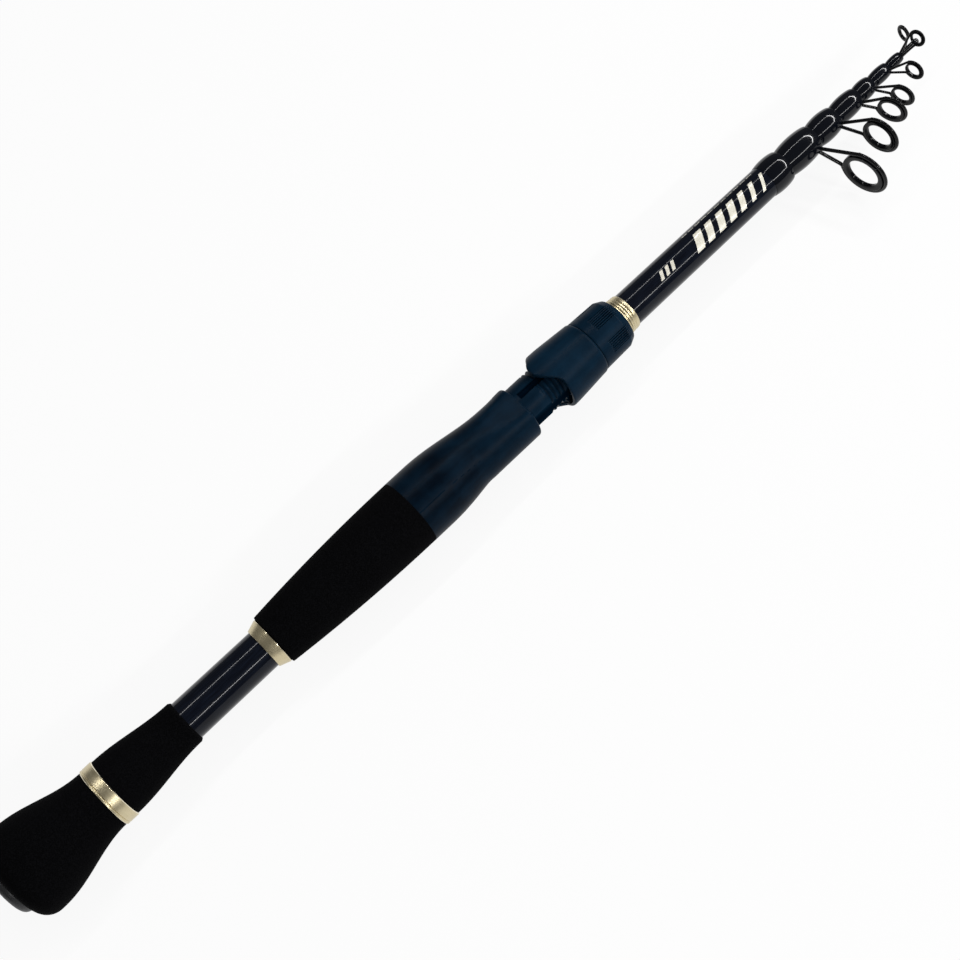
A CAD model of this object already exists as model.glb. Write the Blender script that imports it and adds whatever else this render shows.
import bpy
import bmesh
import numpy as np
from mathutils import Matrix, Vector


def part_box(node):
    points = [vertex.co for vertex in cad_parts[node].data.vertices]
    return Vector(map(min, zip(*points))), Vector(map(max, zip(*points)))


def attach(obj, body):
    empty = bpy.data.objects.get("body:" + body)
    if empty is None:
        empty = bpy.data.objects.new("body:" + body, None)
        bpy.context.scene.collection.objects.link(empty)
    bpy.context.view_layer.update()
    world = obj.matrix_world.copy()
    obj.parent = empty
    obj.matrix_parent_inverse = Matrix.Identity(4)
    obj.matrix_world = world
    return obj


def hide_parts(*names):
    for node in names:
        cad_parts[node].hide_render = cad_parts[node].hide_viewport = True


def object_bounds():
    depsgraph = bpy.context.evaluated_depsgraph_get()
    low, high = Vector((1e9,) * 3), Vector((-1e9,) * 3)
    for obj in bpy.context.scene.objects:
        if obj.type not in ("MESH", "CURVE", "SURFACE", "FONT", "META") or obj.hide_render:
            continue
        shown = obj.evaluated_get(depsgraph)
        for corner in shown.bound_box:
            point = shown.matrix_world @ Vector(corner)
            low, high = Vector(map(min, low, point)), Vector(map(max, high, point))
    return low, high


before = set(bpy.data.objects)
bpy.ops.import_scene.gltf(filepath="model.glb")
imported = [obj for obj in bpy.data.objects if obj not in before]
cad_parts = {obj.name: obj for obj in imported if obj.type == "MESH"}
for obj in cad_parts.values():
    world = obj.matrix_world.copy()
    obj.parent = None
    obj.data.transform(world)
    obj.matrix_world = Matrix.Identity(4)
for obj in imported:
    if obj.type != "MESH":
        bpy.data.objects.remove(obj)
cad_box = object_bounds()

# Butt section
# First and thickest tube of the rod, rolled from glass and carbon cloth, sanded, painted and clear coated.
# It carries the grips and the reel seat, and all the other sections slide inside it.
MM = 1000.0
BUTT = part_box("butt_cap")[0].x
AXIS = (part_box("butt_section")[0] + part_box("butt_section")[1]) / 2
BLANK_FRONT_R = 6.3
BLANK_WALL = 0.9
SECTION_TAPER = 0.001
# Tubes, wraps and guide feet end this far behind the CAD's, which is where the photograph has them
SETBACK = 2.6
MERGE = 2e-7
CREASE = np.radians(32)


def span(node):
    """First and last station of a CAD node along the rod and its largest radius, in mm from the butt cap."""
    low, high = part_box(node)
    return (low.x - BUTT) * MM, (high.x - BUTT) * MM, (high.y - low.y) * MM / 2


def on_rod(station, radius, turn):
    """A point of the rod: x is the station, and y and z are the radius times the cosine and sine of the turn,
    which starts at the line side."""
    station, radius, turn = np.broadcast_arrays(station, radius, turn)
    return np.stack([BUTT + station / MM, AXIS.y - radius * np.cos(turn) / MM,
                     AXIS.z + radius * np.sin(turn) / MM], -1)


def skin(points, ends_meet=True):
    """Quads between the neighbours of a grid of points. Each row closes on itself, and the last row joins the
    first where the ends meet."""
    rows, columns = points.shape[:2]
    index = np.arange(rows * columns).reshape(rows, columns)
    index = np.concatenate([index, index[:1]]) if ends_meet else index
    index = np.concatenate([index, index[:, :1]], 1)
    quads = np.stack([index[:-1, :-1], index[1:, :-1], index[1:, 1:], index[:-1, 1:]], -1)
    return points.reshape(-1, 3), quads.reshape(-1, 4)


def lofted(turn, *rows):
    """A closed skin through rows of stations and radii. Each is a number, one row or a block of rows over
    the turns."""
    blocks = [np.broadcast_arrays(station, radius, turn)[:2] for station, radius in rows]
    stations, radii = (np.concatenate(block) for block in zip(*blocks))
    return skin(on_rod(stations, radii, turn))


def turned(outline, around=128):
    """A closed outline of [station, radius] points turned once round the rod."""
    outline = np.asarray(outline, float)
    turn = np.linspace(0, 2 * np.pi, around, endpoint=False)[None]
    return lofted(turn, (outline[:, :1], outline[:, 1:]))


def solid(name, *shells):
    """One mesh object from closed shells of points and quads. Poles are merged, faces are turned outwards,
    and edges sharper than the crease stay hard."""
    starts = np.cumsum([0] + [len(points) for points, _ in shells])
    points = np.concatenate([points for points, _ in shells])
    quads = np.concatenate([quads + start for (_, quads), start in zip(shells, starts)])
    mesh = bpy.data.meshes.new(name)
    mesh.from_pydata(points.tolist(), [], quads.tolist())
    form = bmesh.new()
    form.from_mesh(mesh)
    bmesh.ops.remove_doubles(form, verts=form.verts, dist=MERGE)
    bmesh.ops.dissolve_degenerate(form, edges=form.edges, dist=MERGE)
    bmesh.ops.recalc_face_normals(form, faces=form.faces)
    form.to_mesh(mesh)
    form.free()
    mesh.polygons.foreach_set("use_smooth", np.ones(len(mesh.polygons), bool))
    mesh.set_sharp_from_angle(angle=CREASE)
    piece = bpy.data.objects.new(name, mesh)
    bpy.context.scene.collection.objects.link(piece)
    return piece


def curved(start, corner, end, t):
    """Quadratic curve from start to end, pulled towards the corner: the three are weighted by the square of
    1 - t, twice t times 1 - t, and the square of t."""
    return (1 - t) ** 2 * start + 2 * t * (1 - t) * corner + t ** 2 * end


def eased(corners, radius, steps):
    """A closed outline of [station, radius] corners, each one rounded by a short quadratic curve that starts
    and ends at most the given radius away, and less than half a side away."""
    corner = np.array(corners, float)
    before, after = np.roll(corner, 1, 0) - corner, np.roll(corner, -1, 0) - corner
    reach_b, reach_a = (np.linalg.norm(v, axis=1, keepdims=True) for v in (before, after))
    wanted = np.broadcast_to(np.reshape(radius, (-1, 1)), reach_b.shape)
    ease = np.minimum(wanted, 0.45 * np.minimum(reach_b, reach_a))
    start, end = corner + before / reach_b * ease, corner + after / reach_a * ease
    t = np.linspace(0, 1, steps)[None, :, None]
    return curved(start[:, None], corner[:, None], end[:, None], t).reshape(-1, 2)


def tube_wall(stations, outside, inside):
    """Closed outline of a tube: its outside radii forwards along the stations, then its inside radii back."""
    return np.concatenate([np.stack([stations, outside], 1), np.stack([stations, inside], 1)[::-1]])


class Value:
    """A number that changes over a surface: a socket whose sums, products and powers add Math nodes."""

    def __init__(self, tree, socket):
        self.tree, self.socket = tree, socket

    def node(self, kind, settings=(), out=0, **sockets):
        """Any node: its settings are set first, then its sockets, named by number or in words, are given
        their values or links."""
        made = self.tree.nodes.new("ShaderNode" + kind)
        for key, value in dict(settings).items():
            setattr(made, key, value)
        for key, value in sockets.items():
            place = made.inputs[int(key[1:])] if key[0] == "_" else made.inputs[key.replace("_", " ")]
            if isinstance(value, Value):
                self.tree.links.new(value.socket, place)
            else:
                place.default_value = value
        return Value(self.tree, made.outputs[out])

    def output(self, name):
        """Another output of the node that this value comes from."""
        return Value(self.tree, self.socket.node.outputs[name])

    def math(self, operation, *values):
        """A Math node on the values, in their order."""
        return self.node("Math", {"operation": operation}, **{f"_{k}": v for k, v in enumerate(values)})

    def __add__(self, other):
        return self.math("ADD", self, other)

    def __sub__(self, other):
        return self.math("SUBTRACT", self, other)

    def __rsub__(self, other):
        return self.math("SUBTRACT", other, self)

    def __mul__(self, other):
        return self.math("MULTIPLY", self, other)

    def __pow__(self, other):
        return self.math("POWER", self, other)

    def __rpow__(self, other):
        return self.math("POWER", other, self)

    __radd__ = __add__
    __rmul__ = __mul__

    def within(self, low, high):
        """0 below the low value, 1 above the high one, and a smooth step between."""
        return self.node("MapRange", {"interpolation_type": "SMOOTHSTEP"},
                         Value=self, From_Min=low, From_Max=high)

    def mix(self, first, second):
        """First colour where this value is 0, second where it is 1."""
        return self.node("Mix", {"data_type": "RGBA"}, 2, _0=self, _6=(*first, 1), _7=(*second, 1))

    def stretched(self, *scale):
        """These coordinates, scaled along each axis."""
        return self.node("Mapping", Vector=self, Scale=scale)

    def noise(self, scale, detail, roughness=0.5):
        """Noise at these coordinates, from its scale in waves to the unit, its detail and its roughness."""
        return self.node("TexNoise", Vector=self, Scale=scale, Detail=detail, Roughness=roughness)

    def bump(self, strength, distance):
        """Normals of a surface that this value raises, by the given distance in metres."""
        return self.node("Bump", Strength=strength, Distance=distance, Height=self)


def finish(name, **constants):
    """A new material with one Principled shader, whose constant sockets are set in words. Returns it with its
    shader and its Object coordinates."""
    material = bpy.data.materials.new(name)
    material.use_nodes = True
    shader = material.node_tree.nodes["Principled BSDF"]
    for key, value in constants.items():
        shader.inputs[key.replace("_", " ")].default_value = value
    place = Value(material.node_tree, None).node("TexCoord", out=3)
    return material, shader, place


def feed(shader, **sockets):
    """Links values to the shader's sockets, named in words."""
    for key, value in sockets.items():
        value.tree.links.new(value.socket, shader.inputs[key.replace("_", " ")])


def dress(piece, material, body, slot, *nodes):
    """Gives a piece its finish, and says which body it rides on, which material slot it has and which CAD
    nodes it stands for."""
    piece.data.materials.append(material)
    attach(piece, body)
    if nodes:
        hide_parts(*nodes)
    return piece


blank_paint, shader, place = finish("blank_paint", Coat_Weight=0.6, Coat_Roughness=0.03, Coat_IOR=1.33,
                                    Specular_IOR_Level=0.05)
cloth = place.stretched(140, 2600, 2600).noise(1.0, 3.0, 0.6)
lacquer = place.noise(70.0, 2.0)
depth = cloth.within(0.35, 0.72) * 0.8 + lacquer * 0.2
feed(shader, Base_Color=depth.mix((0.0014, 0.0021, 0.0052), (0.0044, 0.0072, 0.0150)),
     Roughness=0.16 + cloth * 0.12, Normal=lacquer.bump(0.03, 0.0003))

blank_x, blank_end, blank_rear_r = span("butt_section")


def blank_r(station):
    """Radius of the butt tube at a station: it falls evenly from its butt end to its front."""
    return np.interp(station, [blank_x, blank_end], [blank_rear_r, BLANK_FRONT_R])


rings = np.linspace(blank_x, blank_end - SETBACK, 60)
bore = BLANK_FRONT_R - BLANK_WALL + SECTION_TAPER * (blank_end - rings)
butt_tube = solid("blank_butt_tube", turned(tube_wall(rings, blank_r(rings), bore), 160))
dress(butt_tube, blank_paint, "handle", "blank", "butt_section")

# Marks on the blank
# A row of plain slanted bars and a broken hairline, printed in pale foil on the side that faces up
# between the winding check and the front of the butt tube, under the clear coat.
MARK_TURN = np.radians(70)
MARK_PROUD = 0.03
BAR_LEAN = 0.55
BAR_X, BAR_STEP, BAR_HALF_TURN = 319.3, 5.75, 0.5
BAR_WIDTHS = (3.8, 3.3, 3.3, 3.3, 2.7, 2.1, 1.5)
SMALL_X, SMALL_STEP, SMALL_HALF_TURN, SMALL_WIDTH, SMALL_COUNT = 301.0, 2.8, 0.24, 1.5, 3
HAIR_X, HAIR_STEP, HAIR_LENGTH, HAIR_COUNT = 318.0, 3.4, 2.6, 11
HAIR_TURNS = 0.92, 0.955


def patch(first, length, low, high, lean):
    """A thin curved leaf on the blank: a grid of station and turn, set off along the radius, with its station
    leaning with the turn; the underside closes it."""
    along = np.linspace(first, first + length, 9)[:, None]
    turn = np.linspace(low, high, 17)[None]
    station = along + lean * (turn - (low + high) / 2) * blank_r(along)
    top = on_rod(station, blank_r(station) + MARK_PROUD, MARK_TURN + turn)
    under = on_rod(station, blank_r(station) - MARK_PROUD, MARK_TURN + turn)
    around = np.concatenate([top, under[:, ::-1]], 1)
    ends = [np.concatenate([under[k], under[k][::-1]])[None] for k in (0, -1)]
    return skin(np.concatenate([ends[0], around, ends[1]]), ends_meet=False)


mark_foil, shader, place = finish("mark_foil", Metallic=0.2, Coat_Weight=1.0, Coat_Roughness=0.05)
speckle = place.noise(2500.0, 2.0)
feed(shader, Base_Color=speckle.within(0.3, 0.7).mix((0.72, 0.68, 0.55), (0.86, 0.84, 0.75)),
     Roughness=0.28 + speckle * 0.2)
bars = [patch(BAR_X + BAR_STEP * k, width, -BAR_HALF_TURN, BAR_HALF_TURN, BAR_LEAN)
        for k, width in enumerate(BAR_WIDTHS)]
small_bars = [patch(SMALL_X + SMALL_STEP * k, SMALL_WIDTH, -SMALL_HALF_TURN, SMALL_HALF_TURN, BAR_LEAN)
              for k in range(SMALL_COUNT)]
hairline = [patch(HAIR_X + HAIR_STEP * k, HAIR_LENGTH, *HAIR_TURNS, 0.0) for k in range(HAIR_COUNT)]
dress(solid("blank_bars", *bars, *small_bars, *hairline), mark_foil, "handle", "gold")

# Wrap at the front of the butt tube
# Black thread wound round the end of the tube to keep it from splitting, under a thick, self-levelled
# coat of clear epoxy that leaves a smooth low swelling.
THREAD_TURNS = 24000.0
WRAP_ROUNDNESS = 0.85
FRONT_WRAP_REAR, FRONT_WRAP_FRONT, FRONT_WRAP_SWELL = 0.1, 0.2, 0.58

epoxy, shader, place = finish("epoxy_wrap", Coat_Weight=0.6, Coat_Roughness=0.02, Coat_IOR=1.36,
                              Specular_IOR_Level=0.05)
winding = place.node("SeparateXYZ", Vector=place) * THREAD_TURNS
thread = winding.math("SINE", winding) * 0.5 + 0.5
level = place.noise(180.0, 1.0)
feed(shader, Base_Color=(thread * 0.5 + level * 0.5).mix((0.0015, 0.0018, 0.0034), (0.0042, 0.0054, 0.0092)),
     Roughness=0.10 + level * 0.08, Normal=level.bump(0.06, 0.0004))


def swelling(x0, x1, r_first, r_last, height, inner):
    """Outline of a wrap: the radius runs evenly from first to last, plus a swelling that is a power of one
    minus the square of the distance from its middle; the inner line closes it."""
    v = (1 - np.cos(np.linspace(0, np.pi, 57))) / 2
    bulge = np.maximum(1 - (2 * v - 1) ** 2, 0) ** WRAP_ROUNDNESS
    outer = np.stack([x0 + (x1 - x0) * v, r_first + (r_last - r_first) * v + height * bulge], 1)
    return np.concatenate([outer, np.array(inner)[::-1]])


x0, x1, _ = span("wrap_1")
x1 -= SETBACK
outline = swelling(x0, x1, blank_r(x0) + FRONT_WRAP_REAR, blank_r(x1) + FRONT_WRAP_FRONT, FRONT_WRAP_SWELL,
                   [(x0, blank_r(x0)), (x1, blank_r(x1))])
dress(solid("blank_front_wrap", turned(outline)), epoxy, "handle", "wrap", "wrap_1")

# Ferrule and cap of the butt
# A moulded nylon ferrule is glued on the tube inside the knob. The cap screws into it with a coin slot,
# and a soft disc on the cap's plug keeps the sections from knocking.
nylon, shader, place = finish("black_nylon", Specular_IOR_Level=0.45)
rub = place.noise(240.0, 3.0)
feed(shader, Base_Color=rub.within(0.35, 0.7).mix((0.009, 0.0095, 0.011), (0.017, 0.018, 0.020)),
     Roughness=0.36 + rub * 0.22, Normal=place.noise(3800.0, 2.0).bump(0.12, 0.0001))


def paint_node(node, material):
    """Gives a CAD node that no new piece stands for its finish, and returns its mesh."""
    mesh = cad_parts[node].data
    mesh.materials.clear()
    mesh.materials.append(material)
    return mesh


for node in ("butt_ferrule", "butt_cap"):
    mesh = paint_node(node, nylon)
    mesh.polygons.foreach_set("use_smooth", np.ones(len(mesh.polygons), bool))

soft_disc, shader, place = finish("soft_disc", Roughness=0.95)
cells = place.node("TexVoronoi", Vector=place, Scale=1400.0)
feed(shader, Base_Color=cells.within(0.1, 0.6).mix((0.008, 0.008, 0.009), (0.022, 0.022, 0.024)),
     Normal=cells.bump(0.4, 0.0002))
x0, x1, r = span("cap_pad")
rear_edge, front_edge = 0.3, 0.7
disc = eased([(x0, 0.0), (x0, r), (x1, r), (x1, 0.0)], [0.0, rear_edge, front_edge, 0.0], 6)
dress(solid("cap_disc", turned(disc)), soft_disc, "cap_pad", "pad", "cap_pad")

# Foam of the grips
# Firm closed-cell foam, bored out, slid over the tube and glued, then ground to shape on a lathe: a knob
# at the butt, a cone in front of it, and the long fore grip behind the reel seat.
KNOB_EDGE, KNOB_CROWN = 6.2, 1.0
RING_PROUD = 0.4
CONE_LIP = 0.9
GRIP_REAR_R, GRIP_EDGE = 9.9, 0.25

foam, shader, place = finish("grip_foam", Specular_IOR_Level=0.02, Sheen_Weight=0.003, Sheen_Roughness=0.6)
cells = place.node("TexVoronoi", {"feature": "F1"}, Vector=place, Scale=2300.0)
pits = place.noise(900.0, 4.0, 0.65)
cloud = place.noise(45.0, 3.0)
worn = (cells * 0.5 + pits * 0.35 + cloud * 0.15).within(0.25, 0.75)
feed(shader, Base_Color=worn.mix((0.0007, 0.0007, 0.0009), (0.0032, 0.0032, 0.0038)),
     Roughness=0.82 + pits * 0.16, Normal=(cells * 0.6 + pits * 0.4).bump(0.35, 0.00025))


def cosine_step(first, r_first, last, r_last, steps):
    """Stations from first to last with a radius that goes from one value to the other along half a cosine."""
    v = np.linspace(0, 1, steps)
    radius = (r_first + r_last) / 2 + (r_first - r_last) / 2 * np.cos(np.pi * v)
    return np.stack([first + (last - first) * v, radius], 1)


def foam_grip(name, node, around, *runs):
    """A piece of foam turned from an outline that is given in runs of [station, radius] points."""
    piece = solid(name, turned(np.concatenate(runs), around))
    dress(piece, foam, "handle", "foam", node)


knob_x, knob_end, knob_r = span("butt_knob")
_, ferrule_end, ferrule_r = span("butt_ferrule")
neck_r = span("butt_ring")[2] - RING_PROUD
a = np.linspace(-np.pi / 2, 0, 24)
edge_x, edge_r = knob_x + KNOB_EDGE + KNOB_EDGE * np.sin(a), knob_r - KNOB_EDGE + KNOB_EDGE * np.cos(a)
foam_grip("knob_foam", "butt_knob", 192,
          [(knob_x, ferrule_r)],
          np.stack([edge_x, edge_r], 1),
          cosine_step(knob_x + KNOB_EDGE + KNOB_CROWN, knob_r, knob_end, neck_r, 48),
          [(knob_end, blank_r(knob_end)), (ferrule_end, blank_r(ferrule_end)), (ferrule_end, ferrule_r)])

x0, x1, _ = span("rear_grip")
lip = [(x1 - CONE_LIP, blank_r(x1) + CONE_LIP), (x1, blank_r(x1) + 0.3 * CONE_LIP), (x1, blank_r(x1)),
       (x0, blank_r(x0))]
foam_grip("rear_cone_foam", "rear_grip", 160,
          cosine_step(x0, neck_r, x1 - CONE_LIP, blank_r(x1) + CONE_LIP, 48),
          eased(lip, [0.01, 0.3, 0.05, 0.05], 4))

x0, x1, r = span("fore_grip")
v = np.linspace(0, 1, 64)
rear = eased([(x0, blank_r(x0)), (x0, GRIP_REAR_R - GRIP_EDGE), (x0 + GRIP_EDGE, GRIP_REAR_R)],
             [0.01, 0.4, 0.01], 5)
foam_grip("fore_grip_foam", "fore_grip", 192,
          rear[:-5],
          np.stack([x0 + GRIP_EDGE + (x1 - x0 - GRIP_EDGE) * v, r - (r - GRIP_REAR_R) * (1 - v) ** 2], 1),
          [(x1, blank_r(x1))])

# Gold rings
# Turned aluminium rings, champagne anodised: one behind the rear cone, a conical one behind the fore
# grip, and the grooved winding check in front of the reel seat. Their outer edges are cut bright.
RING_RIM, RING_GROOVE = 0.16, 0.25
CONE_RING_WALL, CONE_RING_EDGE = 0.5, 0.25
CHECK_WALL, CHECK_THINNING, CHECK_GROOVE, CHECK_RIDGES = 0.75, 0.45, 0.28, 3

gold, shader, place = finish("champagne_gold", Metallic=1.0)
lines = place.stretched(26000, 120, 120).noise(1.0, 2.0)
haze = place.noise(500.0, 2.0)
sheen = (lines * 0.7 + haze * 0.3).within(0.25, 0.75)
feed(shader, Base_Color=sheen.mix((0.56, 0.48, 0.30), (0.70, 0.62, 0.42)),
     Roughness=0.27 + lines * 0.12 + haze * 0.06, Normal=lines.bump(0.05, 0.00005))
bright, shader, place = finish("bright_cut_edge", Metallic=1.0)
lines = place.noise(900.0, 2.0)
feed(shader, Base_Color=lines.within(0.3, 0.7).mix((0.78, 0.71, 0.52), (0.88, 0.82, 0.66)),
     Roughness=0.07 + lines * 0.08)


def face_middles(piece):
    """Middle of each face of a piece: its station, and how far it is from the axis towards the line side and
    upwards, in mm."""
    middle = np.empty(len(piece.data.polygons) * 3)
    piece.data.polygons.foreach_get("center", middle)
    return (middle.reshape(-1, 3) - [BUTT, AXIS.y, AXIS.z]).T * np.array([[MM], [-MM], [MM]])


def second_finish(piece, material, chosen):
    """The chosen faces of a piece get a second finish."""
    piece.data.materials.append(material)
    piece.data.polygons.foreach_set("material_index", chosen.astype(np.int32))


def gold_ring(name, node, outline, *bright_bands):
    """A gold ring turned from an outline. Its faces between two stations of a bright band are polished."""
    ring = dress(solid(name, turned(outline, 192)), gold, "handle", "gold", node)
    station = face_middles(ring)[0]
    second_finish(ring, bright, np.any([(station > low) & (station < high) for low, high in bright_bands], 0))


x0, x1, r = span("butt_ring")
rim, groove = x0 + RING_RIM * (x1 - x0), RING_GROOVE
hoop = [(x0, blank_r(x0)), (x0, r - groove), (x0 + groove, r), (rim, r), (rim + groove, r - groove),
        (rim + 2 * groove, r), (x1 - groove, r), (x1, r - groove), (x1, blank_r(x1))]
hoop = eased(hoop, [0.02, 0.08, 0.08, 0.06, 0.05, 0.06, 0.08, 0.08, 0.02], 4)
gold_ring("butt_gold_ring", "butt_ring", hoop, (x0, x0 + groove), (x1 - groove, x1))

x0, x1, r = span("grip_ring")
hoop = [(x0, blank_r(x0)), (x0, blank_r(x0) + CONE_RING_WALL), (x1 - 2 * CONE_RING_EDGE, r),
        (x1, r - CONE_RING_EDGE), (x1, blank_r(x1))]
gold_ring("grip_gold_cone", "grip_ring", eased(hoop, [0.02, 0.12, 0.12, 0.08, 0.02], 5),
          (x1 - 2 * CONE_RING_EDGE, x1))

x0, x1, _ = span("winding_check")
ridge_step = (x1 - x0) / (CHECK_RIDGES + 1.5)


def check_r(x):
    """Radius of the winding check: the tube's, plus a wall that thins evenly towards the front."""
    return blank_r(x) + CHECK_WALL - CHECK_THINNING * CHECK_WALL * (x - x0) / (x1 - x0)


cuts = [(x + side * CHECK_GROOVE, check_r(x) - (0 if side else CHECK_GROOVE))
        for x in x0 + ridge_step * np.arange(1, CHECK_RIDGES + 1) for side in (-1, 0, 1)]
hoop = [(x0, blank_r(x0)), (x0, check_r(x0)), *cuts, (x1 - CHECK_GROOVE, check_r(x1)),
        (x1, check_r(x1) - CHECK_GROOVE), (x1, blank_r(x1))]
gold_ring("gold_winding_check", "winding_check", eased(hoop, 0.07, 4), (x1 - CHECK_GROOVE, x1))

# Reel seat
# One nylon moulding, glued over two rings of tape: a swelling body that carries on the fore grip's line,
# a hollow on each side for the fingers, the fixed hood over the foot's pocket, and the threaded barrel.
BODY_LENGTH, BODY_R, WAIST_R, FLARE, FLARE_LIP = 52.6, 12.85, 9.35, 0.5, 1.6
NECK_SHARE, WAIST_SHARE, HOOD_SHARE = 0.16, 0.15, 0.3
FIXED_HOOD_R, HOOD_OFFSET, HOOD_BLEND = 10.25, 0.9, 0.35
HOOD_SUNK, HOOD_RUN_IN, HOOD_RUN = 2.0, 14, 16
HOLLOW_R, HOLLOW_CLEAR, HOLLOW_BLEND = 80, 0.15, 0.7
MOUTH_EDGE, LEAST_EDGE = 0.8, 0.02
POCKET_R, POCKET_DEPTH, POCKET_TURN = 9.1, 24.0, 38.1
BARREL_R, SEAT_BORE = 8.5, 7.15
BED, BED_TURN = 7.7, 25.05
KEY_FLOOR, KEY_GAP, KEY_SHARE, KEY_TURN = 7.5, 1.2, 0.158, 80.91
THREAD_X, THREAD_PITCH, THREAD_DEPTH, THREAD_LEAD, THREAD_RUN_IN = 239.4, 2.0, 0.6, 0.4, 0.5
RIM_GAP, HOOD_POCKET = 14.6, 15
# Stations on both sides of a step lie this far from it, and a face this close to a flat belongs to it
NUDGE, FACE_CLOSE = 0.01, 0.05
DARKER_TO, LIGHTER_FROM = 0.19, 0.25
body_x, check_x, _ = span("reel_seat")
barrel_x = body_x + BODY_LENGTH
key_x = barrel_x + KEY_GAP
rim_x = barrel_x + RIM_GAP
bed_end = rim_x + HOOD_POCKET


def moulded_nylon(name, hollow_r, full_r, gloss):
    """Dark blue nylon, lighter towards the nut, with faint streaks from the mould. Its colour falls off where
    the distance from the rod's axis is less than the full radius, down to the hollow one, in mm."""
    material, shader, place = finish(name, Specular_IOR_Level=gloss)
    grain = place.noise(5200.0, 2.0)
    rub = place.noise(130.0, 4.0, 0.6)
    streak = place.stretched(40, 420, 420).noise(1.0, 2.0)
    along = place.node("SeparateXYZ", Vector=place)
    sideways, upwards = along.output("Y") - AXIS.y, along.output("Z") - AXIS.z
    raised = ((sideways * sideways + upwards * upwards) ** 0.5).within(hollow_r / MM, full_r / MM)
    towards_nut = along.within(BUTT + DARKER_TO, BUTT + LIGHTER_FROM)
    tone = (rub * 0.6 + streak * 0.4).within(0.3, 0.72) * 0.5 + towards_nut * 0.5
    feed(shader, Base_Color=(tone * raised).mix((0.0003, 0.0025, 0.0066), (0.0027, 0.0168, 0.0360)),
         Roughness=0.27 + rub * 0.14 + grain * 0.05, Normal=grain.bump(0.10, 0.00008))
    return material


seat_nylon = moulded_nylon("seat_nylon", 7.6, 8.3, 0.045)
matt_nylon = moulded_nylon("seat_matt_nylon", 7.1, 9.0, 0.0)


def turns(*edges):
    """Turns round the rod in steps of a degree and a half, in degrees, with a close pair at each edge, and at
    its mirror image on the other side, so that it stays crisp."""
    pairs = [side * edge + d for edge in edges for side in (1, -1) for d in (-0.06, 0.06)]
    return np.unique(np.concatenate([np.arange(-180, 180, 1.5), pairs]))


def smooth(v):
    """Smooth step: 0 below 0, 1 above 1, and level at both ends."""
    v = np.clip(v, 0, 1)
    return v * v * (3 - 2 * v)


def larger(a, b, blend):
    """The larger of two values, with the corner between them rounded over the given blend."""
    return (a + b + np.sqrt((a - b) ** 2 + blend ** 2)) / 2


def plane(distance, lean, least=0.2):
    """Radius at which a flat face is met: its distance from the axis over the cosine of the turn from its
    normal, which counts as no smaller than the least."""
    return distance / np.maximum(lean, least)


def set_off(radius, turn):
    """Distance from the axis to a round wall whose middle is set off towards the line side."""
    return HOOD_OFFSET * np.cos(turn) + np.sqrt(radius ** 2 - (HOOD_OFFSET * np.sin(turn)) ** 2)


def seat_body(x, turn):
    """Radius of the moulded body: a cosine step from grip to waist and a flare, or the fixed hood set off
    towards the line side, whichever is larger, cut by two long hollows at the sides."""
    neck, waist = body_x + NECK_SHARE * BODY_LENGTH, barrel_x - WAIST_SHARE * BODY_LENGTH
    v = np.clip((x - neck) / (waist - neck), 0, 1)
    body = (BODY_R + WAIST_R) / 2 + (BODY_R - WAIST_R) / 2 * np.cos(np.pi * v)
    body = body + FLARE * smooth((x - waist) / (barrel_x - FLARE_LIP - waist))
    hood_start = waist - HOOD_SHARE * BODY_LENGTH - HOOD_RUN_IN
    hood = set_off(FIXED_HOOD_R, turn) - HOOD_SUNK * (1 - smooth((x - hood_start) / HOOD_RUN))
    back = np.maximum(barrel_x - x, 0)
    hollow = BARREL_R + HOLLOW_CLEAR + HOLLOW_R - np.sqrt(HOLLOW_R ** 2 - back ** 2)
    full = larger(body, hood, HOOD_BLEND)
    return -larger(-full, -plane(hollow, np.abs(np.sin(turn)), 0.05), HOLLOW_BLEND)


def barrel(x, turn):
    """Radius of the barrel: a right-hand thread in front of a bare length, the flat bed on the line side, and
    a key groove at each side."""
    wave = 0.5 - 0.5 * np.cos(2 * np.pi * ((x - THREAD_X - THREAD_LEAD) / THREAD_PITCH - turn / (2 * np.pi)))
    thread = BARREL_R - THREAD_DEPTH * wave * smooth((x - THREAD_X) / THREAD_RUN_IN)
    flat = np.where(x < bed_end, plane(BED, np.cos(turn)), np.inf)
    in_key = (x > key_x) & (np.abs(np.cos(turn)) < KEY_SHARE)
    key = np.where(in_key, plane(KEY_FLOOR, np.abs(np.sin(turn))), np.inf)
    return np.minimum(np.minimum(thread, flat), key)


deg = turns(POCKET_TURN, BED_TURN, KEY_TURN, 180 - KEY_TURN)
phi = np.radians(deg)[None]
outer_x = np.linspace(body_x, barrel_x - MOUTH_EDGE, 72)[:, None]
outer_r = seat_body(outer_x, phi)
outer_r[0] = BODY_R
edge = np.clip(outer_r[-1:] - BARREL_R - LEAST_EDGE, LEAST_EDGE, MOUTH_EDGE)
a = np.linspace(0, np.pi / 2, 9)[1:, None]
in_pocket = np.abs(deg)[None] < POCKET_TURN
mouth = barrel(barrel_x, phi)
roof = np.where(in_pocket, set_off(POCKET_R, phi), mouth)
bed_r = np.where(in_pocket, np.minimum(plane(BED, np.cos(phi)), roof), mouth)
pocket_x = np.where(in_pocket, barrel_x - POCKET_DEPTH, barrel_x)
thread_x = np.unique(np.concatenate([
    np.linspace(barrel_x, THREAD_X, 12), np.arange(THREAD_X + 0.2, check_x, 0.22), [check_x],
    [key_x - NUDGE, key_x + NUDGE, bed_end - NUDGE, bed_end + NUDGE]]))[:, None]
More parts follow.
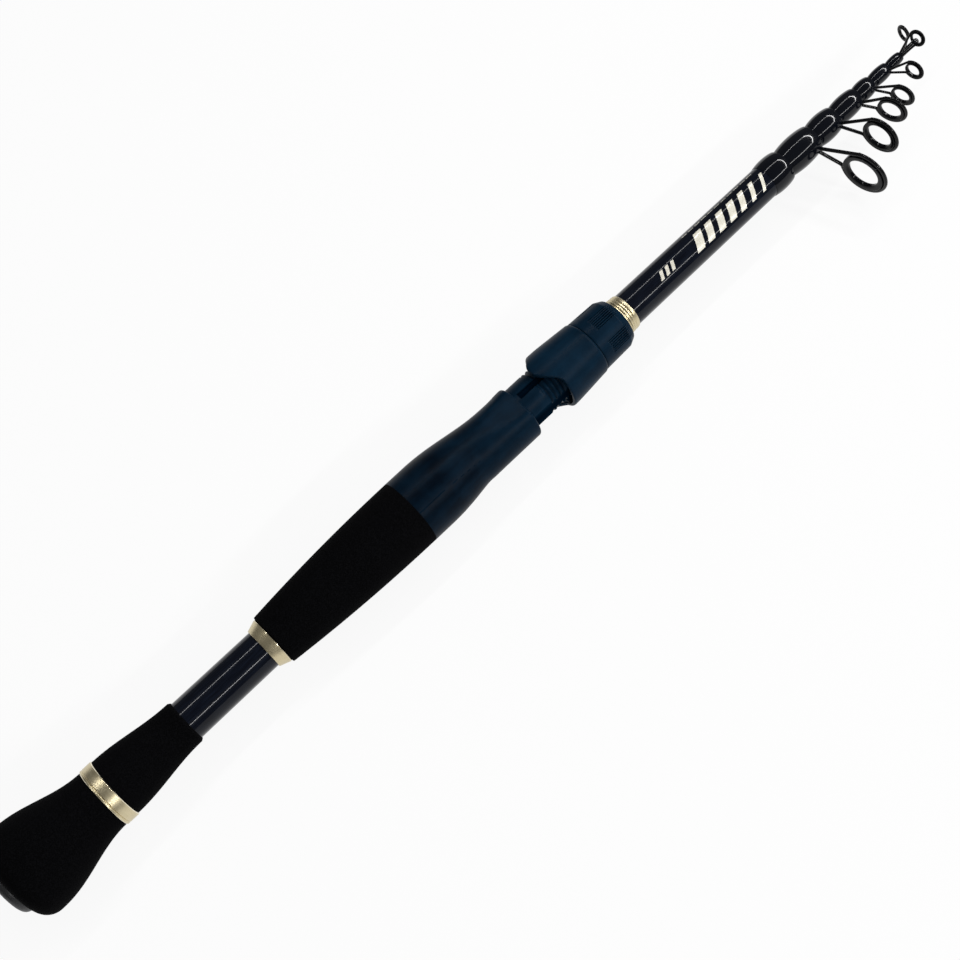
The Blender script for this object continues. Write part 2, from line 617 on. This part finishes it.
seat = solid("reel_seat_body", lofted(
    phi, (outer_x, outer_r), (barrel_x - edge + edge * np.sin(a), outer_r[-1:] - edge + edge * np.cos(a)),
    (barrel_x, roof), (pocket_x, roof), (pocket_x, bed_r), (barrel_x, bed_r),
    (thread_x, barrel(thread_x, phi)), (check_x, [[SEAT_BORE]]), (body_x, [[SEAT_BORE]])))
dress(seat, seat_nylon, "handle", "seat", "reel_seat")
_, lineward, upward = face_middles(seat)
on_bed = np.abs(lineward - BED) < FACE_CLOSE
in_key = (np.abs(np.abs(upward) - KEY_FLOOR) < FACE_CLOSE) & (np.abs(lineward) < KEY_SHARE * BARREL_R)
second_finish(seat, matt_nylon, on_bed | in_key)

tape, shader, place = finish("shim_tape", Roughness=0.8)
weave = place.noise(1800.0, 3.0)
feed(shader, Base_Color=weave.within(0.3, 0.7).mix((0.42, 0.34, 0.20), (0.60, 0.50, 0.32)))
for node in ("rear_shim", "front_shim"):
    paint_node(node, tape)

# Sliding hood
# A second nylon moulding that slides on the barrel. Its mouth is scooped out over the reel's foot and
# again on the palm side, which leaves a tongue over each key groove; a neck at its front snaps into the nut.
HOOD_R, HOOD_BORE, HOOD_EDGE = 11.95, 8.65, 0.6
SEAM_R, SEAM_EDGE, SEAM_DROP = 10.85, 0.7, 0.1
FOOT_SCOOP, PALM_SCOOP, SCOOP_RUN = 6.2, 4.9, 46
FOOT_SCOOP_TURN, PALM_SCOOP_TURN = 96, 106
MOUTH_WALL, MOUTH_DEPTH, MOUTH_STEP = 1.35, 1.0, 0.3
POCKET_WALL, POCKET_END = 1.1, 0.6
POCKET_EDGE, POCKET_BLEND = 46, 6
HOOD_KEY, HOOD_KEY_SHARE, HOOD_KEY_TURN = 7.8, 0.1214, 83.03
TAPER_X, TAPER_BLEND, EVEN_END = 249.88, 0.12, 251.0
NECK_R, NECK_LENGTH, LIP_R, LIP_RISE = 9.4, 3, 9.75, 0.35
NUT_GAP = 0.2
tongue_x, nut_x = span("sliding_hood")[0], span("lock_nut")[0] - NUT_GAP
neck_end = nut_x + NECK_LENGTH

deg = turns(POCKET_EDGE - POCKET_BLEND, POCKET_EDGE, HOOD_KEY_TURN, 180 - HOOD_KEY_TURN)
phi, side = np.radians(deg)[None], np.abs(deg)[None]
mouth_x = (tongue_x + FOOT_SCOOP * smooth((FOOT_SCOOP_TURN - side) / SCOOP_RUN)
           + PALM_SCOOP * smooth((side - PALM_SCOOP_TURN) / SCOOP_RUN))
step_x = np.maximum(rim_x + MOUTH_DEPTH, mouth_x + MOUTH_STEP)
pocket = smooth((POCKET_EDGE - side) / POCKET_BLEND)


def hood_inside(x):
    """Radius inside the hood: a wide mouth, then the bore with a key that stands in at each side, or on the
    line side the foot's pocket, whose roof comes down evenly from the mouth."""
    wall = np.where(x < step_x, HOOD_R - MOUTH_WALL, HOOD_BORE)
    roof = np.interp(x, [rim_x, bed_end, bed_end + NUDGE],
                     [HOOD_R - POCKET_WALL, HOOD_BORE + POCKET_END, HOOD_BORE])
    on_key = (np.abs(np.cos(phi)) < HOOD_KEY_SHARE) & (x > step_x) & (x < nut_x)
    key = np.where(on_key, plane(HOOD_KEY, np.abs(np.sin(phi))), wall)
    return np.where(pocket > 0, wall + (roof - wall) * pocket, key)


def hood_outside(x):
    """Radius of the hood: even at the mouth, then a straight taper to the nut, with a soft bend between."""
    taper = HOOD_R - (HOOD_R - SEAM_R) * (x - TAPER_X) / (nut_x - SEAM_EDGE - TAPER_X)
    return TAPER_BLEND / 4 - larger(-HOOD_R, -taper, TAPER_BLEND)


a = np.linspace(-np.pi / 2, 0, 8)[:, None]
v = np.linspace(0, 1, 14)[1:, None]
near_x = mouth_x + HOOD_EDGE + (EVEN_END - mouth_x - HOOD_EDGE) * v
far_x = np.linspace(EVEN_END, nut_x - SEAM_EDGE, 24)[1:, None]
neck = [(nut_x - SEAM_EDGE / 2, SEAM_R - SEAM_DROP), (nut_x, SEAM_R - SEAM_EDGE / 2), (nut_x, NECK_R),
        (neck_end - 2 * LIP_RISE, NECK_R), (neck_end - LIP_RISE, LIP_R), (neck_end, NECK_R),
        (neck_end, HOOD_BORE)]
back_x = np.array([nut_x + NUDGE, nut_x - NUDGE, bed_end + 2 * NUDGE])[:, None]
v, w = np.linspace(0, 1, 18)[:, None], np.linspace(0, 1, 9)[:, None]
in_x = np.concatenate([bed_end * (1 - v) + (step_x + NUDGE) * v, step_x - NUDGE + (mouth_x - step_x) * w])
hood = solid("sliding_hood_body", lofted(
    phi, (mouth_x + HOOD_EDGE + HOOD_EDGE * np.sin(a), HOOD_R - HOOD_EDGE + HOOD_EDGE * np.cos(a)),
    (near_x, hood_outside(near_x)), (far_x, hood_outside(far_x)), *neck,
    (back_x, hood_inside(back_x)), (in_x, hood_inside(in_x))))
dress(hood, seat_nylon, "sliding_hood", "seat", "sliding_hood")

# Lock nut
# A nylon ring nut on the barrel's thread that turns on the hood's neck and drives it. Six panels of fine
# lengthwise grooves give the fingers hold, and its front is chamfered down to the winding check.
PANEL_STEP, PANEL_HALF, GROOVE_STEP, GROOVE_DEPTH = 60, 14.6, 4.8, 0.42
GROOVE_X, GROOVE_RUN_IN, GROOVE_END, GROOVE_RUN_OUT = 3.8, 0.7, 1.1, 0.9
CHAMFER, CHAMFER_EDGE, CHAMFER_R, NUT_FRONT_R = 2.6, 0.2, 8.95, 8.85
NECK_GAP = 0.2
# Way of the rear edge's rounding along the nut, and how far it drops there
EDGE_WAY, EDGE_DROP = np.array([0, 0.12, 0.4]), np.array([0.3, 0.12, 0])
n0, n1, nut_r = span("lock_nut")
rear_r, chamfer_rear_r = nut_r + 0.15, nut_r - 0.22
nut_nylon = moulded_nylon("nut_nylon", nut_r - 0.45, nut_r - 0.2, 0.045)

deg = np.arange(-180, 180, 0.5)
phi = np.radians(deg)[None]
panel = (deg + 90 + PANEL_STEP / 2) % PANEL_STEP - PANEL_STEP / 2
wave = 0.5 + 0.5 * np.cos(2 * np.pi * panel / GROOVE_STEP)
groove = np.where(np.abs(panel) < PANEL_HALF, wave, 0)[None] ** 2
groove_x = n0 + GROOVE_X
out_x = np.concatenate([
    n0 + EDGE_WAY, [n0 + 0.9], np.linspace(groove_x - 0.4, groove_x + 0.9, 8),
    np.linspace(groove_x + 1.3, n1 - CHAMFER - 0.2, 16), np.linspace(n1 - CHAMFER, n1 - CHAMFER_EDGE, 9),
    [n1 - CHAMFER_EDGE / 2, n1]])[:, None]
plain_r = np.interp(out_x, [*(n0 + EDGE_WAY), n1 - CHAMFER, n1 - CHAMFER_EDGE, n1],
                    [*(rear_r - EDGE_DROP), chamfer_rear_r, CHAMFER_R, NUT_FRONT_R])
grooved = smooth((out_x - groove_x) / GROOVE_RUN_IN) * smooth((n1 - GROOVE_END - out_x) / GROOVE_RUN_OUT)
inner_r, lip_r, lip_x = NECK_R + NECK_GAP, LIP_R + NECK_GAP, neck_end - LIP_RISE
nut_inside = [(n1, HOOD_BORE), (neck_end + NECK_GAP, HOOD_BORE), (neck_end + NECK_GAP, inner_r),
              (lip_x + NECK_GAP, lip_r), (lip_x - NECK_GAP, lip_r), (lip_x - NECK_GAP - LIP_RISE, inner_r),
              (n0, inner_r)]
nut = solid("lock_nut_ring", lofted(phi, (out_x, plain_r - GROOVE_DEPTH * groove * grooved), *nut_inside))
dress(nut, nut_nylon, "lock_nut", "seat", "lock_nut")
second_finish(nut, seat_nylon, face_middles(nut)[0] > n1 - CHAMFER)

# Sliding sections
# Six thin tapered tubes and a solid tip, rolled and coated as the butt tube is. Each jams by its taper
# when it is drawn out, and its thread wrap stops it at its neighbour's end when it is pushed in.
TIP = 8
SECTIONS = dict(enumerate(["section_%d" % i for i in range(2, TIP)] + ["tip_section"], 2))
SECTION_WALL, WALL_STEP = 0.5, 0.03
WRAP_SWELL, SWELL_STEP = 0.98, 0.11
WRAP_REAR, WRAP_FRONT, WRAP_SHORT, WRAP_FOOT = 0.3, 0.25, 0.15, 1.2
SLEEVE = 0.3


def section_r(i, x):
    """Outside radius of a section at a station: its rear one, less the taper times the way from its rear."""
    rear_x, _, rear_r = span(SECTIONS[i])
    return rear_r - SECTION_TAPER * (x - rear_x)


for i, body in SECTIONS.items():
    x0, x1, _ = span(body)
    if i == TIP:
        rings = np.linspace(x0, x1, 60)
        outline = [(x0, 0.0), *zip(rings, section_r(i, rings)), (x1, 0.0)]
    else:
        rings = np.linspace(x0, x1 - SETBACK, 60)
        wall = SECTION_WALL - WALL_STEP * (i - 2)
        outline = tube_wall(rings, section_r(i, rings), section_r(i, rings) - wall)
    dress(solid("blank_" + body, turned(outline, 72)), blank_paint, body, "blank", body)
    if i < TIP:
        wrap = "wrap_%d" % i
        w0, w1 = span(wrap)[0] - SETBACK, x1 - SETBACK - WRAP_SHORT
        step, r_first, r_last = w0 + WRAP_FOOT, section_r(i, w0), section_r(i, w1) + SLEEVE
        inner = [(w0, r_first), (step, section_r(i, step)), (step, section_r(i, step) + SLEEVE), (w1, r_last)]
        height = WRAP_SWELL - SWELL_STEP * (i - 2)
        outline = swelling(w0, w1, r_first + WRAP_REAR, r_last + WRAP_FRONT, height, inner)
        dress(solid("wrap_of_section_%d" % i, turned(outline, 112)), epoxy, body, "wrap", wrap)

# Guides
# Each is a stainless sleeve glued on its section, with a wire bent over a mandrel into a tall loop and
# soldered to the sleeve by its two feet. A polished ceramic ring is pressed into the loop for the line.
ROLL = {2: -12, 3: 7, 4: -4, 5: -5, 6: 22, 7: 67, 8: -172}
LEAN = {2: 7, 3: 6, 4: 15, 5: 12, 6: 7, 7: 12, 8: 12}
# Height of each guide's legs, as a share of its loop's outside radius
LEGS = {2: 0.78, 3: 0.84, 4: 0.54, 5: 0.75, 6: 1.05, 7: 1.5, 8: 0.5}
HOLE, HOLE_STEP, TIP_HOLE = 6.2, 0.79, 2.0
WIRE, RING_HALF, RING_WALL, RING_LAND = 0.72, 1.1, 2.3, 0.36
FOOT_INSET, FOOT_SPREAD, FOOT_SINK = 0.13, 1.3, 0.4
TIP_WALL, TIP_SETBACK = 0.45, 5.0
# The second leg leaves the loop this far before it is closed, with a bend of so many wire radii
KINK, BEND = np.radians(24), 1.6
BEAD_LENGTH, BEAD = 1.2, np.array([0.55, 0.9, 1.06, 1.12, 1.06, 0.9, 0.55])
fronts = [blank_end] + [span(body)[1] for body in SECTIONS.values()]
FOOT = {i: front - FOOT_INSET * (front - behind)
        for i, (behind, front) in enumerate(zip(fronts, fronts[1:]), 2)}

steel, shader, place = finish("guide_black", Coat_Weight=0.6, Coat_Roughness=0.06, Coat_IOR=1.33,
                              Specular_IOR_Level=0.05)
drawn = place.noise(1500.0, 3.0)
tarnish = place.noise(260.0, 3.0)
feed(shader, Roughness=0.30 + tarnish * 0.16, Base_Color=(drawn * 0.5 + tarnish * 0.5).within(0.3, 0.7).mix(
    (0.0020, 0.0021, 0.0024), (0.0060, 0.0062, 0.0070)))
ceramic, shader, place = finish("ring_ceramic", Coat_Weight=0.4, Coat_Roughness=0.03, Coat_IOR=1.33,
                                Specular_IOR_Level=0.03)
polish = place.noise(900.0, 3.0)
feed(shader, Base_Color=polish.within(0.3, 0.7).mix((0.0016, 0.0018, 0.0026), (0.0046, 0.0050, 0.0064)),
     Roughness=0.08 + polish * 0.08)


def on_guide(i, sideways, height, forward=0.0):
    """Points of a guide, in its own leaning frame with its root on the rod's axis at the foot: sideways,
    upwards along the rise, and forward along the ring's axis, in mm."""
    roll, lean = np.radians(ROLL[i]), np.radians(LEAN[i])
    along, out = np.array([1.0, 0, 0]), np.array([0, -np.cos(roll), np.sin(roll)])
    across = np.array([0, np.sin(roll), np.cos(roll)])
    up, axis = np.cos(lean) * out + np.sin(lean) * along, np.cos(lean) * along - np.sin(lean) * out
    sideways, height, forward = (np.asarray(v, float)[..., None]
                                 for v in np.broadcast_arrays(sideways, height, forward))
    root = np.array([BUTT + FOOT[i] / MM, AXIS.y, AXIS.z])
    return root + (sideways * across + height * up + forward * axis) / MM


def wire_along(path, radius, flat, sides=18):
    """A round wire along a path that lies close to a plane with the given normal: a circle stands square to
    the path at each point, and the ends close to a point."""
    tangent = np.gradient(path, axis=0)
    tangent /= np.linalg.norm(tangent, axis=1, keepdims=True)
    first = np.cross(tangent, flat)
    first /= np.linalg.norm(first, axis=1, keepdims=True)
    second = np.cross(first, tangent)
    a = np.linspace(0, 2 * np.pi, sides, endpoint=False)[None, :, None]
    radius = np.broadcast_to(radius, len(path))[:, None, None] / MM
    hoops = path[:, None] + radius * (np.cos(a) * first[:, None] + np.sin(a) * second[:, None])
    ends = [np.broadcast_to(path[k], (1, sides, 3)) for k in (0, -1)]
    return skin(np.concatenate([ends[0], hoops, ends[1]]), ends_meet=False)


def loop_wires(i, wire, loop_r, rise, foot_h):
    """Wire of a guide, with a solder bead at each side of its loop: a straight leg up from the first foot,
    the loop as an arc about the ring's middle, a short bend, and the second leg down to its foot."""
    spread, back = FOOT_SPREAD * wire, rise - foot_h
    setback, lean = TIP_SETBACK if i == TIP else SETBACK, np.radians(LEAN[i])
    foot = np.array([spread, foot_h - setback * np.sin(lean), -setback * np.cos(lean)])
    other_foot = foot * [-1, 1, 1]
    start = np.arctan2(spread, back) + np.arccos(loop_r / np.hypot(spread, back))
    end = 2 * np.pi - KINK
    bend_start = end - BEND * wire / loop_r
    a = np.linspace(start, end, 111)
    loop = np.stack([loop_r * np.sin(a), rise - loop_r * np.cos(a), 0 * a], 1)
    arc = loop[a < bend_start]
    way_down = other_foot - loop[-1]
    bend_end = loop[-1] + way_down / np.linalg.norm(way_down) * BEND * wire
    bend = curved(arc[-1], loop[-1], bend_end, np.linspace(0, 1, 9)[1:-1, None])
    v = np.linspace(0, 1, 24)[:, None]
    first_leg, second_leg = foot * (1 - v) + loop[0] * v, bend_end * (1 - v) + other_foot * v
    path = np.concatenate([first_leg[:-1], arc, bend, second_leg])
    ring_axis = on_guide(i, 0, 0, MM) - on_guide(i, 0, 0)
    shells = [wire_along(on_guide(i, *path.T), wire, ring_axis)]
    for joint in (start, bend_start):
        a = joint + np.linspace(-BEAD_LENGTH, BEAD_LENGTH, len(BEAD)) * wire / loop_r
        bead = on_guide(i, loop_r * np.sin(a), rise - loop_r * np.cos(a))
        shells.append(wire_along(bead, wire * BEAD, ring_axis))
    return shells


def guide_sleeve(i, first, wall):
    """Outline of the sleeve under a guide's feet, from its first station to the section's end. The tip's is a
    tube with a closed, rounded end."""
    front = span(SECTIONS[i])[1]
    last = front if i == TIP else front - SETBACK
    rear_r, front_r = section_r(i, first), section_r(i, front)
    corners = [(first, rear_r), (first, rear_r + wall), (last, front_r + wall)]
    if i == TIP:
        corners += [(last + wall, front_r), (last + wall, 0.0), (last, 0.0), (last, front_r)]
        return eased(corners, [0.02, 0.1, 0.25, 0.25, 0.0, 0.0, 0.02], 5)
    return eased(corners + [(last, front_r)], [0.02, 0.05, 0.12, 0.02], 5)


def line_ring(i, hole, ring_r, half, rise):
    """Ceramic ring: its outline is a straight land in the hole, a quarter ellipse out to each face and an
    eased rim, carried once round the ring's axis."""
    lip, land = (ring_r - hole) / 2, RING_LAND * half
    a = np.linspace(0, np.pi / 2, 14)
    bend_r, bend_z = hole + lip * (1 - np.cos(a)), land + (half - land) * np.sin(a)
    rim_r = ring_r - np.array([0.2, 0.05, 0, 0, 0.05, 0.2]) * lip
    rim_z = np.array([1, 0.9, 0.6, -0.6, -0.9, -1]) * half
    outline_r = np.concatenate([bend_r, rim_r, bend_r[::-1]])[:, None]
    outline_z = np.concatenate([bend_z, rim_z, -bend_z[::-1]])[:, None]
    a = np.linspace(0, 2 * np.pi, 128, endpoint=False)[None]
    return skin(on_guide(i, outline_r * np.sin(a), rise + outline_r * np.cos(a), outline_z))


for i, body in SECTIONS.items():
    names = ["guide_wire_%d", "guide_frame_%d", "line_ring_%d", "guide_ring_%d"]
    names = [name % (i - 1) for name in names]
    if i == TIP:
        names = ["tip_wire", "tip_top_frame", "tip_line_ring", "tip_top_ring"]
    wire_name, frame_node, ring_name, ring_node = names
    hole, wall = (TIP_HOLE, TIP_WALL) if i == TIP else (HOLE * HOLE_STEP ** (i - 2), SLEEVE)
    scale = hole / HOLE
    wire, half, ring_r = WIRE * np.sqrt(scale), RING_HALF * np.sqrt(scale), hole + RING_WALL * scale
    loop_r, sleeve_r = ring_r + wire, section_r(i, FOOT[i]) + wall
    rise = sleeve_r + (1 + LEGS[i]) * (loop_r + wire)
    foot_h = np.sqrt(sleeve_r ** 2 - (FOOT_SPREAD * wire) ** 2) - FOOT_SINK * wire
    sleeve = guide_sleeve(i, span(frame_node)[0] - SETBACK, wall)
    wires = solid(wire_name, *loop_wires(i, wire, loop_r, rise, foot_h), turned(sleeve, 72))
    dress(wires, steel, body, "wire", frame_node)
    dress(solid(ring_name, line_ring(i, hole, ring_r, half, rise)), ceramic, body, "ceramic", ring_node)

# Floor, light and camera
# A plain pale floor that the rod lies on, two long soft lamps along the rod, one across its tip and a pale
# world, with the camera at the photograph's angle, looking down on the rod's upper side.
FLOOR_SHARE, FLOOR_REACH = 0.90, 6.0
WORLD_LIGHT = 0.15
# Way of the rod across the picture, its tilt away from the viewer, and the turn of its line side
ACROSS, UP = 0.7293, 0.6842
TILT, LINE_TURN = np.radians(11.5), np.radians(25)
# Station of the rod's middle, and where that lies from the lens, in metres
MID_STATION, MID_FROM_LENS = 0.2043, np.array([-0.00564, 0.00602, -0.5190])
SENSOR, LENS, NEAREST = 36.0, 56.25, 0.01

paper, shader, place = finish("floor_paper", Roughness=0.9)
feed(shader, Base_Color=place.noise(400.0, 2.0).mix((0.90, 0.90, 0.90), (0.92, 0.92, 0.92)))
seen = place.node("LightPath")
mirrored, through = seen.output("Is Glossy Ray"), seen.output("Is Transmission Ray")
looked_at = seen.math("MAXIMUM", seen, mirrored.math("MAXIMUM", mirrored, through))
glow = place.node("Emission", Color=(1, 1, 1, 1), Strength=1.0)
lit = Value(place.tree, shader.outputs[0])
floor_mix = place.node("MixShader", _0=looked_at * FLOOR_SHARE, _1=lit, _2=glow)
paper.node_tree.links.new(floor_mix.socket, paper.node_tree.nodes["Material Output"].inputs["Surface"])
floor = bpy.data.meshes.new("floor")
corners = [(FLOOR_REACH * x, FLOOR_REACH * y, cad_box[0].z) for x, y in ((-1, -1), (1, -1), (1, 1), (-1, 1))]
floor.from_pydata(corners, [], [(0, 1, 2, 3)])
floor.materials.append(paper)
floor_piece = bpy.data.objects.new("floor", floor)
bpy.context.scene.collection.objects.link(floor_piece)

world = bpy.data.worlds.new("studio")
world.use_nodes = True
bpy.context.scene.world = world
air = world.node_tree.nodes["Background"]
air.inputs["Color"].default_value = (1, 1, 1, 1)
air.inputs["Strength"].default_value = WORLD_LIGHT


def set_up(name, data, axes, place_at):
    """Puts a lamp or a camera in its place, with its own three axes as given."""
    holder = bpy.data.objects.new(name, data)
    rows = [[*(axis[k] for axis in axes), place_at[k]] for k in range(3)]
    holder.matrix_world = Matrix(rows + [[0, 0, 0, 1]])
    bpy.context.scene.collection.objects.link(holder)
    return holder


def lamp(name, place_at, aim, size, power, way=(1.0, 0.0, 0.0)):
    """A soft rectangular lamp at a place, turned to face a point, with its long side along the rod or another
    way."""
    data = bpy.data.lights.new(name, "AREA")
    data.shape = "RECTANGLE"
    data.size, data.size_y = size
    data.energy = power
    away = np.array(place_at, float) - np.array(aim, float)
    away /= np.linalg.norm(away)
    long_side = np.array(way) - np.dot(way, away) * away
    long_side /= np.linalg.norm(long_side)
    set_up(name, data, (long_side, np.cross(away, long_side), away), place_at)


lamp("over_lamp", (0.2, 0.357, 0.95), (0.2, 0, 0), (1.4, 0.025), 3.5)
lamp("side_lamp", (0.2625, -0.80, 0.616), (0.2625, 0, 0), (1.525, 0.030), 5.5)
lamp("tip_lamp", (1.034, -0.2, 0.9), (0.2, 0, 0), (1.36, 0.036), 9, (-0.286, 0.958, 0.0))

rod_in_view = np.array([np.cos(TILT) * ACROSS, np.cos(TILT) * UP, -np.sin(TILT)])
beside = np.array([UP, -ACROSS, 0.0])
facing = np.array([ACROSS * np.sin(TILT), UP * np.sin(TILT), np.cos(TILT)])
rise_in_view = np.cos(LINE_TURN) * facing - np.sin(LINE_TURN) * beside
line_in_view = np.cos(LINE_TURN) * beside + np.sin(LINE_TURN) * facing
to_view = np.stack([rod_in_view, -line_in_view, rise_in_view], 1)
middle = np.array([BUTT + MID_STATION, AXIS.y, AXIS.z])
eye = bpy.data.cameras.new("photo_view")
eye.sensor_fit = "HORIZONTAL"
eye.sensor_width, eye.lens, eye.clip_start = SENSOR, LENS, NEAREST
bpy.context.scene.camera = set_up("photo_view", eye, to_view, middle - to_view.T @ MID_FROM_LENS)
bpy.context.scene.view_settings.view_transform = "Standard"
